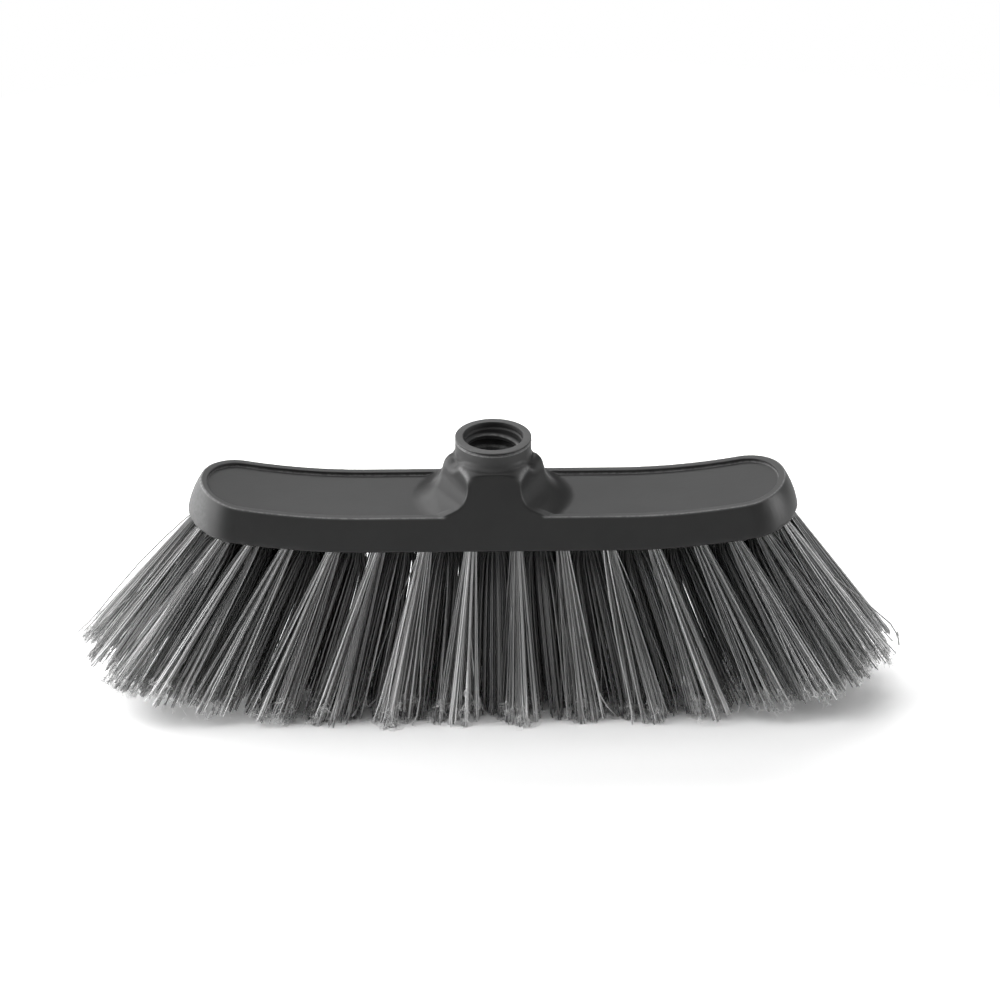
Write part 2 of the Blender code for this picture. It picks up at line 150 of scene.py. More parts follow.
# Tones, from 0 for the darkest filament to 1 for the palest fibre
TONE_RANGE, TIP_PALER, FRONT_PALER = 0.76, 0.28, 0.1  # FRONT_PALER is for all but the inner rows
STRAY_SHADE, FIBRE_SHADE = 0.9, (0.8, 1.1)
INNER_SHADE = 0.74  # the inner rows are darker by this


def spine_rise(x):
    past = np.maximum(np.abs(x) - SPINE_STRAIGHT, 0)
    return SPINE_RADIUS - np.sqrt(SPINE_RADIUS**2 - past**2)


def trim_height(x):
    """Height of the trimmed tips at x."""
    past = np.maximum(np.abs(x) - TRIM_FLAT, 0) / TRIM_RUN
    return TRIM_RISE * past**TRIM_POWER


# ---------------------------------------------------------------- block: one blended surface


def round_max(a, b, r):
    """The field of what two fields share, with the convex edge between them rounded to r."""
    return np.minimum(np.maximum(a, b), -r) + np.hypot(np.maximum(a + r, 0), np.maximum(b + r, 0))


def round_min(a, b, r):
    """The field of two joined fields, with the hollow edge between them filled to r."""
    return -round_max(-a, -b, r)


def outline(x, y, length, depth, end):
    """Distance to the block's outline, which is straight with an elliptical end."""
    qx = np.maximum(np.abs(x) - (length - end), 0) / end
    qy = np.abs(y) / depth
    q = np.maximum(np.hypot(qx, qy), 1e-4)
    return (q - 1) * q / np.maximum(np.hypot(qx / end, qy / depth), 1e-5)


def sweep(flare, above):
    """How far a face is swept out at a height above the foot of its sweep, and its slope."""
    spread, height, power = flare
    u = np.clip(1 - np.maximum(above, 0) / height, 0, 1)
    return spread * u**power, -spread * power / height * u ** (power - 1)


def ease(value, low, high):
    """0 below low, 1 above high, and smooth between them."""
    share = np.clip((value - low) / (high - low), 0, 1)
    return share * share * (3 - 2 * share)


def wane(value, low, high):
    """1 below low, 0 above high, and smooth between them."""
    return ease(-value, -high, -low)


def close(distance, reach):
    """1 at no distance, and fading to nothing over twice the reach."""
    return np.exp(-((distance / reach) ** 2))


def block_faces(x, y, z):
    """Distances to the faces that the block is blended from.

    The first is a height, as it would be in the straight middle of the block. The last isn't a distance
    but how far a place is over the tower's side faces, from 0 to 1.
    """
    rise, k = spine_rise(x), (RIM_SWEEP - 1) / (RIM - UNDERSIDE)
    level = (z - rise * (1 - k * UNDERSIDE)) / (1 + rise * k)
    share = (level - UNDERSIDE - WALL_START) / (RIM - UNDERSIDE - WALL_LESS)
    length, depth, end = (b + (r - b) * share for b, r in zip(BASE_EDGE, RIM_EDGE))
    length = length + END_BULGE * np.maximum(1 - (2 * share - 1) ** 2, 0)
    wall = outline(x, y, length, depth, end) * WALL_SQUARE

    side, side_slope = sweep(SIDE_FLARE, z - FLARE_FOOT)
    front, _ = sweep(FRONT_FLARE, z - RIM)
    side, front = HEX_CORNER + side, HEX_FRONT_HALF + front
    run = np.hypot(depth, side - front)
    tilt = 1 / np.sqrt(1 + (side_slope * depth / run) ** 2)
    ahead = (depth * np.abs(x) + (side - front) * y - depth * side) / run * tilt
    behind = (depth * np.abs(x) - (side - front) * y - depth * side) / run * tilt
    foot = np.clip(1 - (z - FLARE_FOOT) / SIDE_FLARE[1], 0, 1)
    flanks = round_max(ahead, behind, FLANK_EDGE[0] + FLANK_EDGE[1] * foot)
    rho = np.hypot(x, y)
    out = np.maximum(rho - COLLAR - COLLAR_FILLET[0], 0)
    aside = ease(np.abs(x) / np.maximum(rho, 1), *SIDE_FACE)
    corner = ease(np.abs(x) / np.maximum(rho, 1), *SIDE_CORNER)
    dome = SHOULDER - SHOULDER_FALL * out - SHOULDER_DOME * out**2
    dome = dome - SIDE_DIP * aside + CORNER_LIFT * corner
    shoulder = (z - dome) / np.hypot(1, SHOULDER_FALL + 0.2 * out)
    inner = wall + RIM_WIDTH + RIM_LEAN * (RIM - level)
    return level, wall, inner, flanks, shoulder, rho - COLLAR, aside


def block_field(x, y, z):
    """Negative inside the block and its tower, positive outside."""
    level, wall, inner, flanks, shoulder, collar, aside = block_faces(x, y, z)
    bell = round_min(collar, shoulder, COLLAR_FILLET[0] + COLLAR_FILLET[1] * aside)
    tower = round_max(flanks, bell, SHOULDER_EDGE[0] + SHOULDER_EDGE[1] * aside)
    shelf = round_min(level - PANEL, tower, FLARE_FILLET)
    ring = round_max(level - RIM, -inner, RECESS_EDGE)
    top = round_min(shelf, ring, RECESS_FILLET)
    solid = round_max(top, wall, RIM_ROUND)
    return round_max(solid, UNDERSIDE - level, BASE_ROUND)


def wear_and_painted_light_share(x, y, z):
    """How far the plastic is tinted pale, partly by wear and partly as painted light: 0 where plain, 1 on
    the top that hands touch, more as painted highlights on sharp edges.
    """
    level, wall, inner, flanks, shoulder, collar, _ = block_faces(x, y, z)
    away = np.hypot(x, y)
    across, along = np.abs(x) / np.maximum(away, 1), np.abs(y) / np.maximum(away, 1)

    # the turned collar and top ring are tinted partly by wear and partly as painted light; the bead gets
    # a painted highlight, and the groove stays dark as painted shade
    turned = COLLAR_WEAR_AND_LIGHT * ease(z, SHOULDER - 0.85, SHOULDER + 1.15)
    for start, wear_and_light in ((LIP, LIP_HIGHLIGHT), (LIP_GROOVE, GROOVE_PAINTED_SHADE), (RING, RING_WEAR_AND_LIGHT)):
        turned = np.where(z > start, wear_and_light, turned)
    # the socket's inside is painted lighter, more so deeper down, as painted light, with painted
    # highlight lines along the crest edges of its thread
    below_mouth = wane(z, TOP - MOUTH_DEPTH - 2.6, TOP - MOUTH_DEPTH - 1.6)
    thread_glint = close(thread_gap(np.arctan2(y, x), z) - THREAD_EDGE, THREAD_EDGE_WIDTH)
    thread = THREAD_PAINTED_LIGHT + THREAD_DEEP_PAINTED_LIGHT * wane(z, 103, 109)
    thread = thread + THREAD_EDGE_HIGHLIGHT * thread_glint * below_mouth
    turned = np.where((away < SOCKET_REACH) & (z > SOCKET_FLOOR - 1), thread, turned)

    # the rim's top is worn paler; its outer edge and the recess wall's foot get painted highlights, and
    # the recess wall a painted reflection
    rim_top = ease(-wall, 0.1, 0.4) * ease(inner, 0.0, 0.3) * ease(level, RIM - 0.4, RIM - 0.1)
    rim = RIM_TOP_RUB * rim_top + OUTER_EDGE_HIGHLIGHT * close(np.hypot(wall, level - RIM), 0.45)
    rim = rim + RECESS_WALL_REFLECTION * ease(inner, -0.4, -0.1) * wane(inner, 0.0, 0.3)
    rim = rim + RECESS_FOOT_HIGHLIGHT * close(np.hypot(inner, level - PANEL), 0.5)
    beside_tower = ease(flanks, 0.3, 1.5) * ease(level, RIM - 3, RIM - 2) * wane(z, 112, 113)

    # painted highlights on the tower: along the edges between its side faces and shoulder, and on the
    # shoulder's ledge beside the collar
    corner = CORNER_HIGHLIGHT * close(np.hypot(flanks, shoulder), 1.2) * ease(along, 0.5, 0.75)
    oblique = ease(across, 0.35, 0.6) * ease(along, 0.4, 0.6)
    ledge_glint = LEDGE_HIGHLIGHT * oblique * ease(collar, 0.2, 1.2) * wane(np.abs(shoulder), 0.4, 1.2)
    tower = (corner + ledge_glint) * ease(z, 98, 101)
    # a painted highlight on the wall of the left end, where light falls from the left
    left_end_glint = LEFT_END_HIGHLIGHT * wane(x, -116, -104) * ease(wall, -0.8, -0.4)
    left_end_glint = left_end_glint * ease(level, UNDERSIDE - 1, UNDERSIDE)
    return turned + beside_tower * rim + tower + left_end_glint


def thread_gap(turn, z):
    """Distance along the socket's axis from the middle of the thread's groove."""
    phase = (z - SOCKET_FLOOR - PITCH / 2) / PITCH - turn / (2 * np.pi)
    return np.abs(phase - np.round(phase)) * PITCH


def steps(*stops):
    """A rising list of grid lines: (from, spacing), (from, spacing), …, end."""
    lines = []
    for (low, step), after in zip(stops[:-1], stops[1:]):
        high = after[0] if isinstance(after, tuple) else after
        count = max(1, round((high - low) / step))
        lines.extend(low + (high - low) * i / count for i in range(count))
    return np.array([*lines, stops[-1]])


def surface_net(field, xs, ys, zs):
    """Vertices and quads of the field's zero surface on a grid with unequal spacing."""
    grid = field(xs[:, None, None], ys[None, :, None], zs[None, None, :]).astype(np.float32)
    inside = grid < 0
    cells = np.array(grid.shape) - 1
    lines = (xs, ys, zs)
    owners, points, quads, flips = [], [], [], []
    for axis in range(3):
        a, b = ((axis + 1) % 3, (axis + 2) % 3)
        low = [slice(None)] * 3
        high = [slice(None)] * 3
        low[axis], high[axis] = slice(None, -1), slice(1, None)
        crossing = inside[tuple(low)] != inside[tuple(high)]
        at = np.argwhere(crossing)
        ahead = at.copy()
        ahead[:, axis] += 1
        v0, v1 = grid[tuple(at.T)], grid[tuple(ahead.T)]
        share = v0 / (v0 - v1)
        where = np.stack([lines[i][at[:, i]] for i in range(3)], 1)
        where[:, axis] += share * (lines[axis][ahead[:, axis]] - lines[axis][at[:, axis]])
        around = []
        for da, db in ((0, 0), (1, 0), (1, 1), (0, 1)):
            cell = at.copy()
            cell[:, a] -= da
            cell[:, b] -= db
            good = ((cell >= 0) & (cell < cells)).all(1)
            flat = (cell[:, 0] * cells[1] + cell[:, 1]) * cells[2] + cell[:, 2]
            owners.append(flat[good])
            points.append(where[good])
            around.append(np.where(good, flat, -1))
        around = np.stack(around, 1)
        whole = (around >= 0).all(1)
        quads.append(around[whole])
        flips.append(v0[whole] > 0)
    owners, points = np.concatenate(owners), np.concatenate(points)
    names, index = np.unique(owners, return_inverse=True)
    count = np.bincount(index)
    verts = np.stack([np.bincount(index, points[:, i]) / count for i in range(3)], 1)
    quads, flips = np.concatenate(quads), np.concatenate(flips)
    quads = np.searchsorted(names, quads)
    quads[flips] = quads[flips][:, ::-1]
    return verts, quads


def mesh_of(name, verts, *groups):
    """A smooth mesh from vertices in millimetres and groups of faces, each (faces, corners)."""
    mesh = bpy.data.meshes.new(name)
    mesh.vertices.add(len(verts))
    mesh.vertices.foreach_set("co", (np.asarray(verts) * MM).astype(np.float32).ravel())
    sizes = np.concatenate([np.full(len(g), g.shape[1]) for g in groups])
    corners = np.concatenate([g.ravel() for g in groups])
    mesh.loops.add(len(corners))
    mesh.loops.foreach_set("vertex_index", corners.astype(np.int32))
    mesh.polygons.add(len(sizes))
    starts = np.concatenate([[0], np.cumsum(sizes)[:-1]])
    mesh.polygons.foreach_set("loop_start", starts.astype(np.int32))
    mesh.update(calc_edges=True)
    mesh.shade_smooth()
    return mesh


def socket_rings():
    """Rings of (radius, height) per direction: up the collar, over its top, down the thread."""
    turn = np.linspace(0, 2 * np.pi, 200, endpoint=False)
    rings = []

    def plain(radius, z):
        rings.append((np.full_like(turn, radius), z))

    def rounded(centre_r, centre_z, radius, start, end, count=5):
        for i in range(count + 1):
            a = math.radians(start + (end - start) * i / count)
            plain(centre_r + radius * math.cos(a), centre_z + radius * math.sin(a))

    for z in np.linspace(COLLAR_CUT + 0.4, LIP, 5):
        plain(COLLAR, z)
    for radius, z in LIP_PROFILE:
        plain(radius, z)
    rounded(COLLAR - RING_EDGE, TOP - 0.3, RING_EDGE, 0, 80)
    for radius, z in ((14.5, TOP - 0.06), (13.9, TOP - 0.02), (13.0, TOP)):
        plain(radius, z)
    rounded(MOUTH + MOUTH_EDGE, TOP - MOUTH_EDGE, MOUTH_EDGE, 90, 180)
    for z in (TOP - 0.8, TOP - 1.4, TOP - MOUTH_DEPTH + 0.1):
        plain(MOUTH, z)
    start, lowest = TOP - MOUTH_DEPTH, SOCKET_FLOOR + FLOOR_FILLET
    for z in np.linspace(start, lowest, 84):
        groove = ease(GROOVE_HALF - thread_gap(turn, z), 0, GROOVE_FLANK)
        entry = np.clip((z - start + THREAD_ENTRY) / THREAD_ENTRY, 0, 1)
        foot = np.clip((z - lowest - THREAD_RUN_OUT) / THREAD_RUN_OUT, 0, 1)
        radius = CREST + (ROOT - CREST) * groove * foot
        rings.append((np.maximum(radius, CREST + (MOUTH - CREST) * entry), z))
    rounded(CREST - FLOOR_FILLET, SOCKET_FLOOR + FLOOR_FILLET, FLOOR_FILLET, 0, -90)
    for radius in (7.0, 4.0, 1.5):
        plain(radius, SOCKET_FLOOR)
    return turn, rings


def make_block():
    verts, quads = surface_net(block_field, steps(*GRID_X), steps(*GRID_Y), steps(*GRID_Z))
    bm = bmesh.new()
    bm.from_mesh(mesh_of("net", verts, quads))
    cut = bmesh.ops.bisect_plane(
        bm, geom=bm.verts[:] + bm.edges[:] + bm.faces[:], dist=1e-7,
        plane_co=(0, 0, COLLAR_CUT * MM), plane_no=(0, 0, 1), clear_outer=True,
    )  # fmt: skip
    for v in bm.verts:  # the collar just below the cut is made truly round
        if v.co.z > (COLLAR_CUT - 0.7) * MM:
            v.co.xy = v.co.xy.normalized() * COLLAR * MM
    loop = [v for v in cut["geom_cut"] if isinstance(v, bmesh.types.BMVert)]
    loop.sort(key=lambda v: math.atan2(v.co.y, v.co.x) % (2 * math.pi))
    turn, rings = socket_rings()
    made = []
    for radius, z in rings:
        points = np.stack([radius * np.cos(turn), radius * np.sin(turn), np.full_like(turn, z)], 1)
        made.append([bm.verts.new(p) for p in points * MM])
    for low, high in zip(made, made[1:]):
        for i in range(len(turn)):
            j = (i + 1) % len(turn)
            bm.faces.new((low[i], low[j], high[j], high[i]))
    bm.faces.new(made[-1])  # the middle of the socket's floor
    stitch(bm, loop, made[0])
    drill_underside(bm)
    bmesh.ops.recalc_face_normals(bm, faces=bm.faces)
    mesh = bpy.data.meshes.new("moulded_block")
    bm.to_mesh(mesh)
    bm.free()
    spots = np.empty(len(mesh.vertices) * 3, np.float32)
    mesh.vertices.foreach_get("co", spots)
    # a pale tint per vertex: wear on the top that hands touch, plus painted highlights, a painted
    # reflection, painted shade and painted light in the socket
    wear_and_painted_light = wear_and_painted_light_share(*(spots.reshape(-1, 3).T / MM)).astype(np.float32)
    mesh.attributes.new("wear_and_painted_light", "FLOAT", "POINT").data.foreach_set("value", wear_and_painted_light)
    block = bpy.data.objects.new("moulded_block", mesh)
    bpy.context.scene.collection.objects.link(block)
    return block


def drill_underside(bm):
    """Swaps the flat of the underside for a plainer one with a blind hole for each tuft."""
    flat = []
    for face in bm.faces:
        face.smooth = True
        x, y, z = np.array(face.calc_center_median()) / MM
        inset = outline(x, y, *BASE_EDGE)
        low = z - UNDERSIDE - spine_rise(x) < 0.3 and face.normal.z < -0.9
        if low and inset < -UNDERSIDE_INSET:
            flat.append(face)
    bmesh.ops.delete(bm, geom=flat, context="FACES")
    edge = walk([e for e in bm.edges if e.is_boundary and e.verts[0].co.z < 0.1])
    holes = [hole_rings(bm, x, y) for _, x, y in tuft_places()]
    loops = [edge, *holes]
    mouths = np.array([np.mean([np.array(v.co[:2]) for v in ring], 0) for ring in holes])
    fixed = [v for ring in loops for v in ring]
    points = [Vector(v.co[:2]) for v in fixed]
    for x in np.arange(-117.0, 117.1, FILL_SPACING) * MM:
        for y in np.arange(-18.0, 18.1, FILL_SPACING) * MM:
            from_hole = np.hypot(*(mouths - (x, y)).T).min()
            if outline(x / MM, y / MM, *BASE_EDGE) < -FILL_INSET and from_hole > FILL_CLEAR * MM:
                points.append(Vector((x, y)))
    pairs, base = [], 0
    for ring in loops:
        pairs += [(base + i, base + (i + 1) % len(ring)) for i in range(len(ring))]
        base += len(ring)
    spots, _, faces, *_ = delaunay_2d_cdt(points, pairs, [], 0, 1e-7)
    verts = list(fixed)
    for spot in spots[len(fixed):]:
        verts.append(bm.verts.new((*spot, (UNDERSIDE + spine_rise(spot.x / MM)) * MM)))
    rim = [Vector(v.co[:2]) for v in edge]
    for face in faces:
        middle = sum((spots[i] for i in face), Vector((0, 0))) / 3
        near = np.hypot(*(mouths - tuple(middle)).T).argmin()
        if within(middle, rim) and not within(middle, [Vector(v.co[:2]) for v in holes[near]]):
            bm.faces.new([verts[i] for i in face]).smooth = True


def walk(edges):
    """The vertices of one closed loop of edges, in order."""
    around = {}
    for edge in edges:
        for v in edge.verts:
            around.setdefault(v, []).append(edge)
    first = edges[0].verts[0]
    ring, at, edge = [first], first, edges[0]
    while True:
        at = edge.other_vert(at)
        if at is first:
            return ring
        ring.append(at)
        edge = next(e for e in around[at] if e is not edge)


def within(point, ring):
    """Whether a point is inside a closed ring of points."""
    inside = False
    for a, b in zip(ring, [*ring[1:], ring[0]]):
        if (a.y > point.y) != (b.y > point.y):
            if point.x < (b.x - a.x) * (point.y - a.y) / (b.y - a.y) + a.x:
                inside = not inside
    return inside


def hole_rings(bm, x, y):
    """Walls and drill point of a tuft's hole. Returns the ring of its mouth."""
    mouth, axes = tuft_frame(x, y)
    turn = np.arange(HOLE_SIDES) * 2 * np.pi / HOLE_SIDES
    ring = mouth + HOLE_RADIUS * (np.cos(turn)[:, None] * axes[:, 0] + np.sin(turn)[:, None] * axes[:, 1])
    low = ring.copy()
    for _ in range(4):  # the underside is curved, so its height is found in steps
        gap = UNDERSIDE + spine_rise(low[:, 0]) - low[:, 2]
        low += (gap / axes[2, 2])[:, None] * axes[:, 2]
    high = ring + HOLE_DEPTH * axes[:, 2]
    point = bm.verts.new((mouth + (HOLE_DEPTH + DRILL_POINT) * axes[:, 2]) * MM)
    low = [bm.verts.new(p * MM) for p in low]
    high = [bm.verts.new(p * MM) for p in high]
    for i in range(HOLE_SIDES):
        j = (i + 1) % HOLE_SIDES
        bm.faces.new((low[i], low[j], high[j], high[i])).smooth = True
        bm.faces.new((high[i], high[j], point))
        bm.edges.get((low[i], low[j])).smooth = False
    return low


def stitch(bm, lower, upper):
    """Triangles between two closed loops that are both listed by their angle."""
    def angle(v):
        return math.atan2(v.co.y, v.co.x) % (2 * math.pi)

    i = j = 0
    while i < len(lower) or j < len(upper):
        a, b = lower[i % len(lower)], upper[j % len(upper)]
        next_a, next_b = lower[(i + 1) % len(lower)], upper[(j + 1) % len(upper)]
        turn_a = angle(next_a) + (2 * math.pi if i + 1 >= len(lower) else 0)
        turn_b = angle(next_b) + (2 * math.pi if j + 1 >= len(upper) else 0)
        if j >= len(upper) or (i < len(lower) and turn_a <= turn_b):
            bm.faces.new((a, next_a, b))
            i += 1
        else:
            bm.faces.new((a, next_b, b))
            j += 1


# ---------------------------------------------------------------- tufts


def tuft_places():
    """(name, x, y) of every tuft's hole in the underside."""
    for row, (y, last) in ROWS.items():
        first = last % 1
        places = [TUFT_PITCH * (first + i) for i in range(int(last - first) + 1)]
        if row == "second":
            places.append(SECOND_ROW_END)
        both = sorted({*places, *(-x for x in places)})
        for number, x in enumerate(both, start=1):
            yield f"tuft_{row}_{number:02d}", x, y
    half_length, half_depth, end = END_RING
    arc_start = half_length - end
    for side, name in ((-1, "left"), (1, "right")):
        for i in range(END_COUNT):
            along = END_START + END_PITCH * i - arc_start
            angle = max(along, 0) / ((end + half_depth) / 2)
            x = arc_start + min(along, 0) + end * math.sin(angle)
            yield f"tuft_{name}_end_{i + 1}", side * x, -half_depth * math.cos(angle)


def tuft_frame(x, y):
    """The mouth of a tuft's hole and its three axes: across, along the anchor's plane, and up."""
    mouth = np.array([x, y, UNDERSIDE + spine_rise(x)])
    down = Vector((FAN_ALONG * x, FAN_ACROSS * y, -1)).normalized()
    turned = (-down).to_track_quat("Z", "Y").to_matrix()
    return mouth, np.array(turned)


def tubes(paths, radii, sides, cells):
    """Closed tubes: vertices, faces in groups and their places on the map.

    paths is (tubes, points, 3) and radii (tubes, points). cells is the strip of the map that the tubes
    share, as (left, right, bottom, top).
    """
    count, points, _ = paths.shape
    ahead = np.gradient(paths, axis=1)
    ahead /= np.maximum(np.linalg.norm(ahead, axis=2, keepdims=True), 1e-9)
    across = np.where(np.abs(ahead[:, :, :1]) > 0.95, (0.0, 1.0, 0.0), (1.0, 0.0, 0.0))
    one = across - (ahead * across).sum(2, keepdims=True) * ahead
    one /= np.maximum(np.linalg.norm(one, axis=2, keepdims=True), 1e-9)
    two = np.cross(ahead, one)
    turn = np.arange(sides) * 2 * np.pi / sides
    ring = np.cos(turn)[:, None] * one[:, :, None] + np.sin(turn)[:, None] * two[:, :, None]
    verts = (paths[:, :, None] + ring * radii[:, :, None, None]).reshape(-1, 3)
    base = np.arange(count)[:, None, None] * points * sides
    row = np.arange(points - 1)[None, :, None] * sides
    i = np.arange(sides)[None, None, :]
    j = (i + 1) % sides
    quads = np.stack([base + row + i, base + row + j, base + row + sides + j, base + row + sides + i], 3)
    first = (base[:, 0] + np.arange(sides)[::-1]).reshape(count, sides)
    last = (base[:, 0] + (points - 1) * sides + np.arange(sides)).reshape(count, sides)

    left, right, bottom, top = cells
    wide = (right - left) / count
    round_share = (i[..., None] + (0, 1, 1, 0)) / sides
    long_share = (row[..., None] / sides + (0, 0, 1, 1)) / (points - 1)
    u = left + wide * (np.arange(count)[:, None, None, None] + 0.1 + 0.8 * round_share)
    v = bottom + (top - bottom) * (0.04 + 0.92 * long_share)
    sides_map = np.stack(np.broadcast_arrays(u, v), -1)
    disc = np.stack([0.5 + 0.4 * np.cos(turn), 0.5 + 0.4 * np.sin(turn)], -1)
    caps_map = []
    for low in (0.0, 0.97):  # the caps lie under and over the sides on the map
        edge = np.full(count, bottom + (top - bottom) * low)
        corner = np.stack([left + wide * np.arange(count), edge], -1)
        caps_map.append(corner[:, None] + disc * (wide, 0.03 * (top - bottom)))
    groups = [quads.reshape(-1, 4), np.concatenate([first, last])]
    return verts, groups, [sides_map.reshape(-1, 2), np.concatenate(caps_map).reshape(-1, 2)]


def filament_roots(rng, count, radius):
    """Where filaments stand in the half of a hole on one side of the anchor, in its frame."""
    i = np.arange(2 * count)
    r = np.sqrt((i + 0.5) / (2 * count)) * radius
    roots = np.stack([r * np.cos(i * GOLDEN), r * np.sin(i * GOLDEN)], 1)
    roots = roots + rng.normal(0, 0.07, (2 * count, 2))
    roots = roots[roots[:, 1] > 0][:count]
    roots[:, 1] = 0.4 + roots[:, 1] * 0.85  # clear of the anchor
    return roots


def clump_middles(number):
    """Middles of a tuft's clumps of tips, as shares of its fan: a ring as in the CAD, and some inside."""
    k = np.arange(CLUMPS)
    turned, reach = number * GOLDEN, 0.9 - CLUMP_UNEVEN * (0.5 + 0.5 * np.sin(3 * k + number))
    angle = turned + 2 * np.pi * k / CLUMPS
    inner = turned + 2 * np.pi * (np.arange(INNER_CLUMPS) + 0.5) / INNER_CLUMPS
    outer = np.stack([np.cos(angle), np.sin(angle)], 1) * reach[:, None]
    return np.concatenate([outer, 0.35 * np.stack([np.cos(inner), np.sin(inner)], 1)])


def spread_tips(rng, unit, number, cling):
    """Where each tip stands in its tuft's fan, as a share of the fan, how loose it is, and its clump."""
    middles = clump_middles(number)
    apart = np.linalg.norm((unit + rng.normal(0, 0.1, unit.shape))[:, None] - middles, axis=2)
    mine = apart.argmin(1)
    pull = cling * rng.uniform(*CLING, len(middles))[mine][:, None]
    tips = unit * (1 - pull) + middles[mine] * pull
    stray = rng.random(len(unit))
    loose = np.select([stray < share for share, _ in LOOSE], [spread for _, spread in LOOSE], TIGHT)
    return tips + rng.normal(0, 1, tips.shape) * loose[:, None], loose, mine


def legs_down(rng, frame_of, roots, fan, number, row, lean):
    """Points of each filament from its hole's mouth to its trimmed tip, its clump and its looseness."""
    mouth, axes = frame_of
    down = -axes[:, 2]
    along = np.array([1.0, 0, 0]) - down * down[0]
    along /= np.linalg.norm(along)
    across = np.cross(along, down)
    start = mouth + roots @ axes[:, :2].T
    from_axis = start - mouth
    start_off = np.stack([from_axis @ along, from_axis @ across], 1)
    unit = start_off / BUNDLE_RADIUS[row]
    tips, loose, clump = spread_tips(rng, unit, number, PULL.get(row, 1.0))
    off = tips * fan + lean
    aim = mouth + off[:, :1] * along + off[:, 1:] * across + NOMINAL_REACH * down
    aim[:, 1] = np.clip(aim[:, 1], -TIP_LIMIT, TIP_LIMIT)
    aim -= start
    share = np.ones(len(aim))
    for _ in range(6):  # the trim line is curved, so the length is found in steps
        end = start + aim * share[:, None]
        share += (end[:, 2] - trim_height(end[:, 0])) / -aim[:, 2]
    uneven = rng.normal(0, UNEVEN_CLUMP, CLUMPS + INNER_CLUMPS)[clump]
    uneven = uneven + rng.normal(0, UNEVEN_TIP, len(aim))
    short = np.where(rng.random(len(aim)) < SHORT_SHARE, rng.uniform(*SHORT_BY, len(aim)), 0)
    share = np.minimum(share * (1 - (np.abs(uneven) + short) / NOMINAL_REACH), share)
    end = start + aim * share[:, None]
    s = LEG_STOPS[None, :, None]
    bow = rng.normal(0, 1, (len(aim), 1, 3)) * (BOW[0] + BOW[1] * loose[:, None, None])
    hook = rng.normal(0, 1, (len(aim), 1, 3)) * (HOOK[0] + HOOK[1] * loose[:, None, None])
    straight = start[:, None] + (end - start)[:, None] * s
    opening = np.where(loose > STRAY, 1.0, OPENING.get(row, 1.0))[:, None, None]
    bulge = (s**opening - s) * (off - start_off)[:, None] @ np.stack([along, across])
    path = straight + bulge + bow * s * (1 - s) * 1.8
    path += hook * np.clip((s - 0.8) / 0.2, 0, 1) ** 2  # over the last fifth
    path[:, :, 1] = np.clip(path[:, :, 1], -TIP_LIMIT, TIP_LIMIT)
    path[:, :, 2] = np.maximum(path[:, :, 2], FILAMENT_RADIUS + 0.02)
    return path, clump, loose


def frizz(rng, starts, ahead, fibres):
    """Fine split fibres that curl away from the ends of filaments."""
    first, run = np.repeat(starts, fibres, 0), np.repeat(ahead, fibres, 0)
    count = len(first)
    one = np.cross(run, (0.3, 0.9, 0.2))
    one /= np.linalg.norm(one, axis=1, keepdims=True)
    two = np.cross(run, one)
    s = np.linspace(0, 1, FIBRE_STOPS)[None, :, None]
    reach = rng.uniform(0.55, 1.0, (count, 1, 1)) * FIBRE_LENGTH
    turns = rng.uniform(-1.3, 1.3, (count, 1, 1)) * 2 * np.pi
    phase = rng.uniform(0, 2 * np.pi, (count, 1, 1))
    wide = rng.gamma(2.2, 0.45, (count, 1, 1)) * FIBRE_CURL
    angle = phase + turns * s
    swing = s**1.3 * wide
    path = first[:, None] + run[:, None] * reach * s
    path = path + swing * (np.cos(angle) * one[:, None] + np.sin(angle) * two[:, None])
    path[:, :, 1] = np.clip(path[:, :, 1], -TIP_LIMIT - 0.5, TIP_LIMIT + 0.5)
    path[:, :, 2] = np.maximum(path[:, :, 2], FIBRE_RADIUS + 0.02)
    return path


def folded_filaments(rng, row, x, y, number):
    """Each filament of a tuft from tip to tip through its fold, and what legs_down says of each side."""
    inner = row in INNER_ROWS
    fan = np.array(INNER_FAN if inner else OUTER_FAN) * (1, INNER_SPLAY if inner else 1)
    frame_of = mouth, axes = tuft_frame(x, y)
    near = filament_roots(rng, FILAMENTS.get(row, 40), BUNDLE_RADIUS[row])
    far = near * (1, -1) + rng.normal(0, 0.1, near.shape)
    lean = rng.normal(0, 0.6, 2) + SET_LEAN + (0, math.copysign(INNER_LEAN, y) if inner else 0)
    one, other = (legs_down(rng, frame_of, roots, fan, number, row, lean) for roots in (near, far))
    fold = []
    for angle in np.radians((0, 40, 90, 140, 180)):
        share = (1 + math.cos(angle)) / 2
        along, across = (near * share + far * (1 - share)).T
        up = FOLD_HEIGHT + math.sin(angle) * (0.3 + 0.22 * near[:, 1])
        fold.append(mouth + np.stack([along, across, up], 1) @ axes.T)
    return np.concatenate([one[0][:, ::-1], np.stack(fold, 1), other[0]], 1), one, other


def split_ends(rng, one, other, fibres):
    """The curled fibres at the ends of a tuft's filaments, which are worn in some of its clumps."""
    tips = np.concatenate([one[0], other[0]])
    ahead = tips[:, -1] - tips[:, -2]
    ahead /= np.linalg.norm(ahead, axis=1, keepdims=True)
    worn = np.where(rng.random(CLUMPS + INNER_CLUMPS) < WORN_CLUMPS, SPLIT_WORN, SPLIT_PLAIN)
    split = rng.random(len(tips)) < worn[np.concatenate([one[1], other[1]])]
    back = rng.uniform(*SPLIT_BACK, (split.sum(), 1))
    return frizz(rng, tips[split, -1] - ahead[split] * back, ahead[split], fibres)


